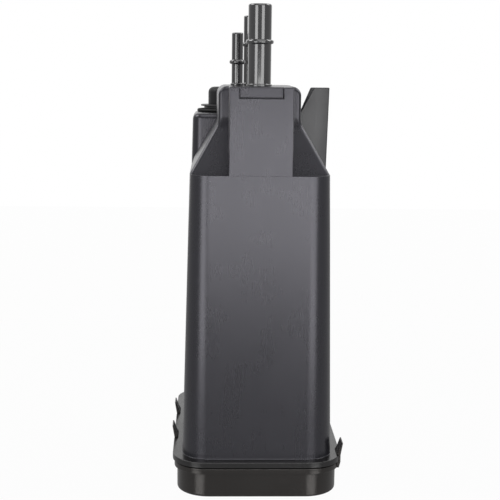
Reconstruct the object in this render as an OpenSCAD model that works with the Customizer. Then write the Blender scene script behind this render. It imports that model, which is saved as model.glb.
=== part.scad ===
// Charcoal canister of a fuel vapour system: a moulded two-chamber vessel with a clipped base cover.
// Millimetres, +Z up, front face towards -Y, origin under the middle of the base cover.

/* [Base cover] */
// Overhang of the cover's flange past its cup
cover_rim = 1.8; // [1.5:0.1:3]
// Corner radius of the cup
cup_r = 22; // [18:0.5:24]
// Height of the cup under the cover's flange
cup_h = 16.3; // [12:0.1:22]
// Chamfer round the cup's foot
cup_foot = 1.5; // [0.5:0.1:2]
// Step of the cover's flange inside the edge of the body's flange
cover_step = 1.2; // [0.8:0.1:1.5]
// Thickness of the cover's flange
cover_flange_t = 4; // [3:0.1:5]
// Gap between the two flanges, filled by the seal
seal_t = 0.9; // [0.6:0.1:1.5]
// Width of the seal
seal_w = 3.6; // [2.5:0.1:4]

/* [Snap arms] */
// Places of the arms along the left side
left_arms = [-29, 27.5];
// Places of the arms along the right side
right_arms = [-67, 27.5];
// Width of an arm
arm_w = 13; // [8:0.5:16]
// Thickness of an arm
arm_t = 1.8; // [1.4:0.1:2.2]
// Reach of an arm past the cover's flange
arm_out = 1; // [0.5:0.1:1.2]
// Height of the release tab above the body's flange
arm_h = 8.5; // [6:0.1:12]
// Outward lean of the release tab, in degrees
arm_lean = 10; // [4:1:16]
// Thickness of the release tab at its tip
arm_tip = 1.3; // [1:0.1:1.6]
// Reach of the barb over the body's flange
barb_reach = 1.6; // [1:0.1:2]
// Height of the barb
barb_h = 2.6; // [2:0.1:4]
// Clearance round an arm in its notch
arm_gap = 0.4; // [0.2:0.05:0.6]
// Clearance between a barb and the body's flange
arm_rest = 0.2; // [0.1:0.05:0.4]

/* [Body] */
// Width of the body where it meets its flange
body_w = 100.5; // [96:0.1:104]
// Length of the body where it meets its flange, front to back
body_l = 164.2; // [160:0.2:168]
// Corner radius of the body at its flange
corner_r = 18; // [14:0.5:20]
// Draft of the outer walls, in degrees
draft = 1.28; // [0.8:0.01:1.6]
// Thickness of the moulded walls
wall = 2.5; // [2:0.1:3]
// Height of the body from its flange to the front shoulder
body_h = 188.5; // [170:0.5:220]
// Overhang of the flange past the body's walls
flange_out = 6.5; // [6:0.1:8]
// Corner radius of the flange
flange_r = 22.5; // [20:0.5:25]
// Thickness of the flange
flange_t = 3.8; // [3:0.1:5]

/* [Rear chamber] */
// Length of the rear chamber at the flange, from the front of the partition
rear_l = 74.1; // [68:0.1:82]
// Height of the rear chamber above the shoulder
tower_h = 36.5; // [30:0.5:45]
// Thickness of the rear chamber's walls above the shoulder
tower_wall = 3; // [2.4:0.1:4]
// Chamfer round the rear chamber's top
tower_edge = 2.5; // [1:0.1:3]

/* [Dome] */
// Distance from the shoulder's front edge to the dome's upright front
ledge_d = 28; // [20:0.5:32]
// Forward run of the dome's front slope
hip_run = 14; // [6:0.5:16]
// Width of the dome's upper box
dome_w = 55; // [48:0.5:60]
// Height of the dome above the shoulder
dome_h = 56.9; // [50:0.1:65]
// Height of the sloping sides above the shoulder
slope_h = 33; // [24:0.5:34]
// Radius along the dome's upper edges
dome_r = 6; // [4:0.5:8]
// Reach of the upper box over the rear chamber
dome_over = 12; // [10:0.5:16]

/* [Mounting block] */
// Width of the block
block_w = 41.6; // [36:0.2:46]
// Step of the block's face behind the body's front wall
block_set = 0.4; // [0.2:0.1:1]
// Width of the tongue socket in its face
socket_w = 28; // [20:0.5:32]
// Height of the socket
socket_h = 7; // [5:0.5:10]
// Depth of the socket
socket_d = 5; // [4.5:0.1:7]

/* [Mounting ear] */
// Reach of the ear past the side wall at the shoulder
ear_out = 6.1; // [4:0.1:8]
// Thickness of the ear
ear_t = 5; // [4:0.2:6]
// Outward lean of the ear's outer edge over its height
ear_lean = 2; // [0.5:0.1:4]
// Height of the ear above the shoulder
ear_h = 55.5; // [45:0.5:60]
// Depth of the ear's foot below the shoulder
ear_drop = 50; // [30:1:70]
// Distance from the side wall to the fold that turns the ear back
ear_fold = 3.9; // [1:0.1:6]
// Angle of the fold, in degrees
ear_turn = 16; // [8:1:30]
// Width of the ear's top in from its fold
ear_top_w = 3.5; // [2.5:0.1:6]
// Run of the ear's slanted inner edge
ear_slant = 8.1; // [5:0.1:10]
// Width of the bevel along the slanted edge
ear_bevel = 2; // [1:0.1:2.5]

/* [Ports] */
// Outside diameter of the tank vapour port
tank_d = 15.82; // [12:0.01:18]
// Bore of the tank vapour port
tank_bore = 12; // [9:0.1:12.6]
// Height of the tank vapour port above the dome
tank_h = 54.2; // [45:0.1:60]
// Distance from the dome's front to the tank vapour port
tank_back = 14.9; // [12:0.1:18]
// Outside diameter of the two slim ports
slim_d = 7.89; // [6:0.01:9.5]
// Bore of the two slim ports
slim_bore = 5; // [3.5:0.1:5.4]
// Height of the purge port above the dome
purge_h = 35.9; // [30:0.1:45]
// Distance from the return port forward to the purge port
purge_ahead = 18; // [12:0.1:22]
// Distance from the middle to the purge port
purge_side = 14.3; // [12:0.1:17]
// Height of the return port above the dome
return_h = 48.2; // [40:0.1:55]
// Distance from the dome's rear wall to the return port
return_in = 10; // [8:0.1:16]
// Distance from the middle to the return port
return_side = 5.6; // [2:0.1:10]
// Overhang of a port's collar past its tube
collar_out = 0.8; // [0.4:0.1:1.2]
// Height of a port's collar
collar_h = 1.2; // [0.8:0.1:2]
// Height of a bead's rim above its tube
bead_rise = 1.6; // [1:0.1:2.2]
// Thickness of a bead
bead_t = 2.9; // [2:0.1:3.5]
// Distance from the tank port's tip to its bead
tank_bead = 25; // [20:0.5:30]
// Distance from a slim port's tip to its bead
slim_bead = 20; // [15:0.5:24]

/* [Vent valve] */
// Distance from the middle to the valve
valve_side = 20; // [16:0.5:24]
// Distance from the dome's rear wall to the valve's seal
valve_back = 3.5; // [2:0.5:8]
// Diameter of the seal under the valve
valve_seal_d = 45; // [38:0.5:46]
// Thickness of that seal
valve_seal_t = 2.3; // [1.5:0.1:3]
// Diameter of the valve's neck
neck_d = 24; // [18:0.5:26]
// Thickness of the neck's wall
neck_wall = 2.5; // [2:0.1:4]
// Reach of the neck below the rear chamber's ceiling
neck_drop = 4; // [2:0.5:6]
// Diameter of the valve's lip
lip_d = 39.6; // [34:0.2:42]
// Overhang of the lip past the waist
lip_out = 2.4; // [0.8:0.1:3]
// Height of the waist under the lip
waist_h = 1.9; // [1.2:0.1:3]
// Thickness of the lip
lip_t = 1.1; // [0.8:0.1:2]
// Diameter of the valve's cap
cap_d = 28.6; // [26:0.2:32]
// Height of the cap
cap_h = 12.9; // [8:0.1:16]
// Radius round the cap's top
cap_r = 4; // [2:0.1:5]

/* [Filling] */
// Height of the pressure plates above the ground
plate_z = 27; // [24:0.5:34]
// Thickness of the pressure plates
plate_t = 3; // [2:0.1:4]
// Diameter of the holes in the plates
plate_hole = 6; // [4:0.5:8]
// Spacing of the holes in the plates
plate_pitch = 12; // [10:0.5:16]
// Least distance from a hole to a spring seat
plate_rim = 1; // [0.5:0.1:3]
// Thickness of the filter pads under the carbon
bottom_pad_t = 4; // [3:0.5:8]
// Thickness of the filter pads over the carbon
top_pad_t = 6; // [4:0.5:10]
// Height of the ribs that hold the upper pads
rib_h = 8; // [5:0.5:12]
// Thickness of those ribs
rib_t = 2; // [1.5:0.1:3]
// Number of ribs under the dome
dome_ribs = 3; // [2:1:5]
// Clearance between the filling and the walls
fill_gap = 0.3; // [0.2:0.05:0.6]
// Mean diameter of the springs
spring_d = 24; // [18:0.5:28]
// Diameter of the spring wire
wire_d = 2; // [1.4:0.1:2.6]
// Turns of a spring
spring_turns = 5; // [4:1:7]
// Height of the spring seats
seat_h = 3; // [2:0.1:4]
// Clearance at a spring's ends and seats
spring_gap = 0.2; // [0.1:0.05:0.4]

/* [Hidden] */
$fn = 64;
far = 400;
bite = 1;

// Heights
cover_top = cup_h + cover_flange_t;
flange_z = cover_top + seal_t;
flange_top = flange_z + flange_t;
shoulder_z = flange_top + body_h;
tower_z = shoulder_z + tower_h;
dome_z = shoulder_z + dome_h;
eave_z = shoulder_z + slope_h;

// Plan of the drafted walls: the corners' centres are fixed and their radius shrinks with height
fall = tan(draft);
centre_x = body_w / 2 - corner_r;
centre_y = body_l / 2 - corner_r;
function body_r(z) = corner_r - fall * (z - flange_top);
function side_x(z) = centre_x + body_r(z);
function front_y(z) = -centre_y - body_r(z);
flange_w = body_w + 2 * flange_out;
flange_l = body_l + 2 * flange_out;
cup_w = flange_w - 2 * (cover_step + cover_rim);
cup_l = flange_l - 2 * (cover_step + cover_rim);

// Dome, block, rear chamber and ports
partition_y = body_l / 2 - rear_l;
dome_y = front_y(shoulder_z) + ledge_d;
dome_back_y = partition_y + dome_over;
partition_back_y = partition_y + wall;
tower_front_c = partition_y + body_r(shoulder_z);
block_y = front_y(shoulder_z) + block_set;
roof_run = side_x(shoulder_z) - dome_w / 2;
tank_y = dome_y + tank_back;
return_y = dome_back_y - return_in;
purge_y = return_y - purge_ahead;

// Snap arms
cover_x = flange_w / 2 - cover_step;
arm_x = cover_x + arm_out - arm_t;
notch_x = arm_x - arm_gap;

// Filling
main_top_z = shoulder_z - wall;
rear_top_z = tower_z - wall - rib_h;
bed_z = plate_z + plate_t + bottom_pad_t;
front_in_y = front_y(plate_z) + wall;
main_mid_y = (front_in_y + partition_y) / 2;
rear_mid_y = (partition_back_y - front_in_y) / 2;
spring_step = (partition_y - front_in_y) / 4;
spring_places = [main_mid_y - spring_step, main_mid_y + spring_step, rear_mid_y];
seat_r = spring_d / 2 - wire_d / 2 - spring_gap;

// Vent valve
valve_x = -valve_side;
valve_y = dome_back_y + valve_back + valve_seal_d / 2;
waist_z = tower_z + valve_seal_t;
lip_z = waist_z + waist_h;
cap_z = lip_z + lip_t;
waist_r = lip_d / 2 - lip_out;

// Block with round vertical corners, whose radius goes from r0 at its foot to r1 at its top.
// cx is half the distance between the corners' centres, cy0 and cy1 are the front and back centres.
module rounded_block(cx, cy0, cy1, r0, r1, z0, z1) {
    for (x = [-cx, cx], y = [cy0, cy1])
        translate([x, y, z0])
            cylinder(r1 = r0, r2 = r1, h = z1 - z0);
    rotate([90, 0, 90])
        translate([0, 0, -cx])
            linear_extrude(2 * cx)
                polygon([[cy0 - r0, z0], [cy1 + r0, z0], [cy1 + r1, z1], [cy0 - r1, z1]]);
    translate([0, cy1, 0])
        rotate([90, 0, 0])
            linear_extrude(cy1 - cy0)
                polygon([[-cx - r0, z0], [cx + r0, z0], [cx + r1, z1], [-cx - r1, z1]]);
}

// Straight plate with round corners, centred on the origin
module rounded_plate(w, l, r, z0, z1) {
    rounded_block(w / 2 - r, r - l / 2, l / 2 - r, r, r, z0, z1);
}

// Volume inside the body's drafted walls, set in from their outer faces
module inside_walls(inset, z0, z1) {
    rounded_block(centre_x, -centre_y, centre_y, body_r(z0) - inset, body_r(z1) - inset, z0, z1);
}

// Rear chamber above the shoulder, set in from its outer faces
module tower(inset, z0, z1) {
    rounded_block(centre_x, tower_front_c, centre_y, body_r(z0) - inset, body_r(z1) - inset, z0, z1);
}

// Rear chamber's outer faces, with a chamfer round its top and roots through its joins
module tower_outside() {
    edge_z = tower_z - tower_edge;
    edge_r = body_r(edge_z);
    tower(0, shoulder_z, edge_z);
    tower(wall / 2, shoulder_z - bite, shoulder_z + bite);
    rounded_block(centre_x, tower_front_c, centre_y, edge_r, edge_r - tower_edge, edge_z, tower_z);
    tower(tower_edge, edge_z - bite, edge_z + bite);
}

// Half of space in front of, or behind, a plane across the body
module in_front_of(y) {
    translate([-far, y - far, -far])
        cube([2 * far, far, 3 * far]);
}

module behind(y) {
    translate([-far, y, -far])
        cube([2 * far, far, 3 * far]);
}

// Slice of the main chamber, with a gap to its walls
module main_slice(gap, z0, z1) {
    intersection() {
        inside_walls(wall + gap, z0, z1);
        in_front_of(partition_y - gap);
    }
}

// Slice of the rear chamber below the shoulder, with a gap to its walls
module rear_slice(gap, z0, z1) {
    intersection() {
        inside_walls(wall + gap, z0, z1);
        behind(partition_back_y + gap);
    }
}

// Section across the dome, set in from its outer faces: sloping sides, upright upper walls, round edges.
// Its foot goes down to foot_z, is narrowed by foot_in on each side and has a root below it.
module dome_section(inset, foot_z, foot_in) {
    foot = side_x(shoulder_z) - inset - foot_in;
    drop = inset * (norm([roof_run, slope_h]) - slope_h) / roof_run;
    knee_z = shoulder_z - drop + foot_in * slope_h / roof_run;
    half = dome_w / 2 - inset;
    top = dome_z - inset;
    r = dome_r - inset;
    polygon([
        [-foot, foot_z], [foot, foot_z], [foot, knee_z], [half, eave_z - drop],
        [half, top - r], [-half, top - r], [-half, eave_z - drop], [-foot, knee_z]
    ]);
    translate([bite - foot, foot_z - bite])
        square([2 * (foot - bite), 2 * bite]);
    translate([r - half, top - r - bite])
        square([2 * (half - r), r + bite]);
    for (side = [-1, 1])
        translate([side * (half - r), top - r])
            circle(r);
}

module along_y(y0, y1) {
    translate([0, y1, 0])
        rotate([90, 0, 0])
            linear_extrude(y1 - y0)
                children();
}

// Front slope between the shoulder and the eaves, set in from its outer faces like the section behind it
module front_slope(inset, foot_z, foot_in) {
    shift = inset * norm([hip_run, slope_h]) / slope_h;
    foot_y = dome_y + shift - hip_run * (eave_z - foot_z) / slope_h;
    knee_y = dome_y + inset;
    back_y = knee_y + bite;
    knee_z = eave_z - (shift - inset) * slope_h / hip_run;
    intersection() {
        along_y(foot_y, back_y)
            dome_section(inset, foot_z, foot_in);
        rotate([90, 0, 90])
            translate([0, 0, -far])
                linear_extrude(2 * far)
                    polygon([
                        [foot_y + bite, foot_z - bite], [back_y, foot_z - bite], [back_y, knee_z],
                        [knee_y, knee_z], [foot_y, foot_z], [foot_y + bite, foot_z]
                    ]);
    }
}

module dome_outside() {
    along_y(dome_y, dome_back_y)
        dome_section(0, shoulder_z, 0);
    front_slope(0, shoulder_z, 0);
}

module dome_inside() {
    along_y(dome_y + wall, partition_y)
        dome_section(wall, main_top_z - bite, bite);
    front_slope(wall, main_top_z - bite, bite);
    translate([wall - dome_w / 2, partition_y - bite, tower_z])
        cube([dome_w - 2 * wall, dome_over - wall + bite, dome_h - tower_h - dome_r]);
}

// Hollow of the mounting block, open to the dome behind it
module block_inside() {
    translate([wall - block_w / 2, block_y + socket_d + wall, shoulder_z])
        cube([block_w - 2 * wall, dome_y + wall + bite - block_y - socket_d - wall, dome_h - wall]);
}

module block_outside() {
    translate([-block_w / 2, block_y, shoulder_z - bite])
        cube([block_w, dome_y + bite - block_y, dome_h + bite]);
}

// Socket for a bracket's tongue, open to the front and the top
module tongue_socket() {
    translate([-socket_w / 2, block_y - bite, dome_z - socket_h])
        cube([socket_w, socket_d + bite, socket_h + bite]);
}

// Ear beside the rear chamber: a folded plate with a bevelled slanted edge and a tapered foot
module mounting_ear() {
    side = side_x(shoulder_z);
    fold = side - ear_fold;
    reach = side + ear_out;
    inner = dome_w / 2 - wall / 2;
    lower = shoulder_z - ear_drop;
    back = (reach - fold) * tan(ear_turn);
    top = shoulder_z + ear_h;
    slant_x = fold - ear_top_w - ear_slant;
    difference() {
        intersection() {
            translate([0, 0, lower])
                linear_extrude(far)
                    polygon([
                        [inner, partition_y], [fold, partition_y], [reach, partition_y + back],
                        [reach, partition_y + back + ear_t], [fold, partition_y + ear_t],
                        [inner, partition_y + ear_t]
                    ]);
            along_y(0, partition_y + far)
                polygon([
                    [inner, shoulder_z - ear_t], [fold, shoulder_z - ear_t], [side_x(lower) - wall / 2, lower],
                    [reach - ear_lean, shoulder_z - ear_drop / 2], [reach, top],
                    [fold - ear_top_w, top], [slant_x, tower_z], [inner, tower_z]
                ]);
        }
        translate([slant_x, partition_y, tower_z])
            rotate([0, atan(ear_slant / (top - tower_z)), 0])
                linear_extrude(far)
                    polygon([[-bite, -bite], [ear_bevel + bite, -bite], [-bite, ear_bevel + bite]]);
    }
}

// Hose port with a collar, a bead and a chamfered tip
module port(x, y, d, bead, h) {
    r = d / 2;
    tip = d / 10;
    translate([x, y, dome_z]) {
        translate([0, 0, -bite])
            cylinder(r = r, h = h - tip + bite);
        translate([0, 0, h - tip])
            cylinder(r1 = r, r2 = r - tip / 2, h = tip);
        cylinder(r = r + collar_out, h = collar_h);
        translate([0, 0, h - bead - bead_t / 2])
            cylinder(r = r + bead_rise - bead_t / 2, h = bead_t);
        translate([0, 0, h - bead])
            rotate_extrude()
                translate([r + bead_rise - bead_t / 2, 0])
                    circle(bead_t / 2);
    }
}

module port_bore(x, y, d, h) {
    translate([x, y, dome_z - wall - bite])
        cylinder(d = d, h = h + wall + 2 * bite);
}

module ports() {
    port(0, tank_y, tank_d, tank_bead, tank_h);
    port(-purge_side, purge_y, slim_d, slim_bead, purge_h);
    port(-return_side, return_y, slim_d, slim_bead, return_h);
}

module port_bores() {
    port_bore(0, tank_y, tank_bore, tank_h);
    port_bore(-purge_side, purge_y, slim_bore, purge_h);
    port_bore(-return_side, return_y, slim_bore, return_h);
}

// Notches in the body's flange that the snap arms come up through
module arm_notches() {
    for (y = left_arms)
        mirror([1, 0, 0])
            arm_notch(y);
    for (y = right_arms)
        arm_notch(y);
}

module arm_notch(y) {
    translate([notch_x, y - arm_w / 2 - arm_gap, flange_z - bite])
        cube([far, arm_w + 2 * arm_gap, flange_t + 2 * bite]);
}

// Ribs under the dome and under the rear chamber's ceiling, which hold the upper filter pads
module pad_ribs() {
    intersection() {
        for (i = [1:dome_ribs])
            rib(dome_y + (partition_y - dome_y) * i / (dome_ribs + 1), main_top_z);
        along_y(dome_y, partition_y)
            dome_section(wall / 2, main_top_z, 0);
    }
    intersection() {
        for (y = [valve_y - valve_seal_d / 2, valve_y + valve_seal_d / 2 - rib_t])
            rib(y, rear_top_z);
        tower(wall / 2, rear_top_z, tower_z - wall / 2);
    }
}

module rib(y, z) {
    translate([-body_w / 2, y, z])
        cube([body_w, rib_t, rib_h + wall / 2]);
}

module canister_body() {
    color("#3c3c3e")
        union() {
            difference() {
                union() {
                    inside_walls(0, flange_z, shoulder_z);
                    tower_outside();
                    dome_outside();
                    block_outside();
                    mounting_ear();
                    ports();
                    difference() {
                        rounded_plate(flange_w, flange_l, flange_r, flange_z, flange_top);
                        arm_notches();
                    }
                }
                main_slice(0, flange_z - bite, main_top_z);
                rear_slice(0, flange_z - bite, shoulder_z);
                tower(tower_wall, shoulder_z - bite, tower_z - wall);
                dome_inside();
                block_inside();
                tongue_socket();
                port_bores();
                translate([valve_x, valve_y, tower_z - wall - bite])
                    cylinder(d = neck_d + 2 * fill_gap, h = wall + 2 * bite);
            }
            pad_ribs();
        }
}

// Snap arm of the right side: a root on the cover's flange, a barb over the body's and a leaning release tab
module snap_arm(y) {
    lean = arm_h * tan(arm_lean);
    outer_x = cover_x + arm_out;
    root_x = arm_x - arm_t / 2;
    hook_z = flange_top + arm_rest;
    along_y(y - arm_w / 2, y + arm_w / 2)
        polygon([
            [root_x, cup_h], [cover_x, cup_h], [outer_x, cover_top], [outer_x, flange_top],
            [outer_x + lean, flange_top + arm_h], [outer_x + lean - arm_tip, flange_top + arm_h],
            [arm_x + (hook_z + barb_h - flange_top) * tan(arm_lean), hook_z + barb_h],
            [arm_x - barb_reach, hook_z], [arm_x, hook_z], [arm_x, cover_top], [root_x, cover_top]
        ]);
}

module base_cover() {
    color("#2f2d2d") {
        difference() {
            union() {
                rounded_block(cup_w / 2 - cup_r, cup_r - cup_l / 2, cup_l / 2 - cup_r,
                              cup_r - cup_foot, cup_r, 0, cup_foot);
                rounded_plate(cup_w - 2 * cup_foot, cup_l - 2 * cup_foot, cup_r - cup_foot,
                              cup_foot / 2, cup_foot + bite);
                rounded_plate(cup_w, cup_l, cup_r, cup_foot, cup_h + bite);
                rounded_plate(flange_w - 2 * cover_step, flange_l - 2 * cover_step,
                              flange_r - cover_step, cup_h, cover_top);
            }
            rounded_plate(cup_w - 2 * wall, cup_l - 2 * wall, cup_r - wall, wall, cover_top + bite);
        }
        for (y = spring_places)
            translate([0, y, wall - bite])
                cylinder(r = seat_r, h = seat_h + bite);
        for (y = left_arms)
            mirror([1, 0, 0])
                snap_arm(y);
        for (y = right_arms)
            snap_arm(y);
    }
}

module cover_seal() {
    outer = 2 * (notch_x - arm_gap);
    trim = flange_w - outer;
    r = flange_r - trim / 2;
    color("#161616")
        difference() {
            rounded_plate(outer, flange_l - trim, r, cover_top, flange_z);
            rounded_plate(outer - 2 * seal_w, flange_l - trim - 2 * seal_w, r - seal_w,
                          cover_top - bite, flange_z + bite);
        }
}

module main_carbon_bed() {
    color("#1d1d1d")
        main_slice(fill_gap, bed_z, main_top_z - top_pad_t);
}

module rear_carbon_bed() {
    color("#1d1d1d") {
        rear_slice(fill_gap, bed_z, shoulder_z - fill_gap);
        tower(tower_wall + fill_gap, shoulder_z - bite, rear_top_z - top_pad_t);
    }
}

module main_top_filter() {
    color("#d8d4c6")
        main_slice(fill_gap, main_top_z - top_pad_t, main_top_z);
}

module rear_top_filter() {
    color("#d8d4c6")
        tower(tower_wall + fill_gap, rear_top_z - top_pad_t, rear_top_z);
}

module main_bottom_filter() {
    color("#d8d4c6")
        main_slice(fill_gap, plate_z + plate_t, bed_z);
}

module rear_bottom_filter() {
    color("#d8d4c6")
        rear_slice(fill_gap, plate_z + plate_t, bed_z);
}

// Rows of holes over a plate's length, kept clear of its spring seats
module plate_holes(y0, y1, seats) {
    columns = floor((side_x(plate_z) - wall - plate_pitch) / plate_pitch);
    rows = floor((y1 - y0) / plate_pitch) - 1;
    mid = (y0 + y1) / 2;
    for (i = [-columns:columns], j = [0:rows - 1]) {
        y = mid + (j - (rows - 1) / 2) * plate_pitch;
        room = min([for (s = seats) norm([i * plate_pitch, y - s])]);
        if (room > seat_r + plate_hole / 2 + plate_rim)
            translate([i * plate_pitch, y, plate_z - bite])
                cylinder(d = plate_hole, h = plate_t + 2 * bite);
    }
}

module plate_seats(seats) {
    for (y = seats)
        translate([0, y, plate_z - seat_h])
            cylinder(r = seat_r, h = seat_h + bite);
}

module main_pressure_plate() {
    seats = [spring_places[0], spring_places[1]];
    color("#55565a") {
        difference() {
            main_slice(fill_gap, plate_z, plate_z + plate_t);
            plate_holes(front_in_y, partition_y, seats);
        }
        plate_seats(seats);
    }
}

module rear_pressure_plate() {
    seats = [spring_places[2]];
    color("#55565a") {
        difference() {
            rear_slice(fill_gap, plate_z, plate_z + plate_t);
            plate_holes(partition_back_y, -front_in_y, seats);
        }
        plate_seats(seats);
    }
}

// Coil spring with closed ends, swept as rings of points along its helix
module coil_spring(y) {
    ring_sides = 8;
    turn_steps = 24;
    steps = spring_turns * turn_steps;
    foot = wall + spring_gap + wire_d / 2;
    rise = plate_z - spring_gap - wire_d / 2 - foot;
    closed = 1 / spring_turns;
    climb = function (t) min(1, max(0, (t - closed / 2) / (1 - closed)));
    points = [
        for (i = [0:steps], k = [0:ring_sides - 1])
            let (
                turn = i * 360 / turn_steps,
                side = k * 360 / ring_sides,
                r = spring_d / 2 + wire_d / 2 * cos(side)
            )
            [r * cos(turn), r * sin(turn), foot + rise * climb(i / steps) + wire_d / 2 * sin(side)]
    ];
    sides = [
        for (i = [0:steps - 1], k = [0:ring_sides - 1])
            let (n = (k + 1) % ring_sides, a = i * ring_sides, b = a + ring_sides)
            [a + k, b + k, b + n, a + n]
    ];
    first = [for (k = [0:ring_sides - 1]) k];
    last = [for (k = [ring_sides - 1:-1:0]) steps * ring_sides + k];
    color("#b9bcc0")
        translate([0, y, 0])
            polyhedron(points, concat(sides, [first, last]), convexity = 10);
}

module front_spring() {
    coil_spring(spring_places[0]);
}

module middle_spring() {
    coil_spring(spring_places[1]);
}

module rear_spring() {
    coil_spring(spring_places[2]);
}

module vent_valve_seal() {
    r = valve_seal_t / 2;
    color("#141414")
        translate([valve_x, valve_y, tower_z])
            difference() {
                union() {
                    cylinder(d = valve_seal_d - valve_seal_t, h = valve_seal_t);
                    translate([0, 0, r])
                        rotate_extrude()
                            translate([valve_seal_d / 2 - r, 0])
                                circle(r);
                }
                translate([0, 0, -bite])
                    cylinder(d = neck_d + 2 * fill_gap, h = valve_seal_t + 2 * bite);
            }
}

module vent_valve_body() {
    neck_z = tower_z - wall - neck_drop;
    color("#4a4a4c")
        translate([valve_x, valve_y, 0])
            difference() {
                union() {
                    translate([0, 0, neck_z])
                        cylinder(d = neck_d, h = waist_z - neck_z + bite);
                    translate([0, 0, waist_z])
                        cylinder(r = waist_r, h = waist_h + bite);
                    translate([0, 0, lip_z])
                        cylinder(d = lip_d, h = lip_t);
                }
                translate([0, 0, neck_z - bite])
                    cylinder(d = neck_d - 2 * neck_wall, h = cap_z - neck_z + 2 * bite);
            }
}

module vent_valve_cap() {
    r = cap_d / 2;
    color("#29292b")
        translate([valve_x, valve_y, cap_z])
            difference() {
                rotate_extrude() {
                    square([r, cap_h - cap_r]);
                    square([r - cap_r, cap_h]);
                    translate([r - cap_r, cap_h - cap_r])
                        circle(cap_r);
                }
                translate([0, 0, -bite])
                    cylinder(r = r - wall, h = cap_h - wall + bite);
            }
}

canister_body();
base_cover();
cover_seal();
main_carbon_bed();
rear_carbon_bed();
main_top_filter();
rear_top_filter();
main_bottom_filter();
rear_bottom_filter();
main_pressure_plate();
rear_pressure_plate();
front_spring();
middle_spring();
rear_spring();
vent_valve_seal();
vent_valve_body();
vent_valve_cap();
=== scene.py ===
import math

import bmesh
import bpy
from bpy.props import FloatProperty, FloatVectorProperty, PointerProperty
from mathutils import Matrix, Vector


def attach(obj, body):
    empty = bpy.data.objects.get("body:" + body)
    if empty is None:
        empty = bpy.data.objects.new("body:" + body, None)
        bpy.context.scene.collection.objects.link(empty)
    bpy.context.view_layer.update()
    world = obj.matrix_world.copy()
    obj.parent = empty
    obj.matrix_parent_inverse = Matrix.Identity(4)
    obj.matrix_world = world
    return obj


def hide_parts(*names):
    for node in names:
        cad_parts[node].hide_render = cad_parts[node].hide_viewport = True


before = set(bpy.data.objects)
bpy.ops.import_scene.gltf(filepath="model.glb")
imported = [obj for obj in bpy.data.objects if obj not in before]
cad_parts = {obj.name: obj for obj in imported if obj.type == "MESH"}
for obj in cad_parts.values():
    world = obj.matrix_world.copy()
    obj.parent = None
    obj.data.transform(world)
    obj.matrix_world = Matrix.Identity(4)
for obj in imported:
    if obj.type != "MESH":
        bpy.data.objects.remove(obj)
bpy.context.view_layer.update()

bl_info = {
    "name": "Charcoal Canister",
    "version": (1, 0, 0),
    "blender": (4, 5, 0),
    "location": "View3D > Sidebar > Canister",
    "description": "Models a charcoal canister over its packed solids, with its finishes and a plain stage",
    "category": "Add Mesh",
}

MM = 0.001
QUARTER = math.pi / 2
WHITE = (1, 1, 1, 1)

# Tolerances in metres, for places that agree and for points that merge
NEAR = 1e-6
MERGED = 1e-7
# Angles past which an edge stays sharp, and under which two faces are made one
SHARP = math.radians(34)
FLAT = math.radians(1)
# Depth by which the dome and the block run on inside the vessel and the dome
SUNK = 3 * MM
# Step that keeps the walls of the dome and the vessel out of one plane
SKIN = 0.02 * MM
# Steps of a corner of the rear chamber, and of each half of the dome's bend
ARC_STEPS = 12
KNEE_STEPS = 4
# Shares of a bead's half thickness and of a tube's wall that their rounds take
BEAD_ROUND = 0.97
TIP_ROUND = 0.75
BORE_ROUND = 0.2
# Half widths of the floor and the backdrop, and the backdrop's place behind the canister, in metres
FLOOR_HALF = 6
BACKDROP_HALF = 1.3
BACKDROP_Y = 1.5
# Side, its sign and the places of its snap arms from front to back
SNAP_ARMS = (("left", -1, (-29 * MM, 27.5 * MM)), ("right", 1, (-67 * MM, 27.5 * MM)))
# Lamps: name, radiance among the stage's sizes, place, target, width and height, in metres
LAMPS = (
    ("front lamp", "front", (0, -0.9, 0.16), (0, 0, 0.16), 0.5, 0.21),
    ("left lamp", "left", (-0.33, -0.49, 0.188), (-0.04, -0.08, 0.188), 0.26, 0.445),
    ("right lamp", "right", (0.264, -0.524, 0.188), (0.04, -0.08, 0.188), 0.27, 0.445),
    ("low left lamp", "low", (-0.33, -0.49, -0.2), (-0.04, -0.08, -0.2), 0.26, 0.07),
    ("low right lamp", "low", (0.264, -0.524, -0.2), (0.04, -0.08, -0.2), 0.27, 0.07),
    ("right side lamp", "side", (0.8, 0.15, 1.0), (0.04, 0, 0.24), 0.5, 0.5),
    ("left side lamp", "side", (-0.8, 0.15, 1.0), (-0.04, 0, 0.24), 0.5, 0.5),
    ("top lamp", "top", (0.1, -0.28, 1.0), (0, 0, 0.16), 0.7, 0.7),
)


def length(name, description, millimetres):
    """A size in the sidebar, written in millimetres and kept in metres."""
    return FloatProperty(name=name, description=description, default=millimetres * MM, unit="LENGTH",
                         precision=5)


def angle(name, description, degrees):
    """An angle in the sidebar, written in degrees and kept in radians."""
    return FloatProperty(name=name, description=description, default=math.radians(degrees), subtype="ANGLE")


def amount(name, description, value):
    """A number without a unit in the sidebar."""
    return FloatProperty(name=name, description=description, default=value)


def colour(name, description, value):
    """A colour in the sidebar, in linear light."""
    return FloatVectorProperty(name=name, description=description, default=value, subtype="COLOR", size=3,
                               min=0, max=1)


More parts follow.
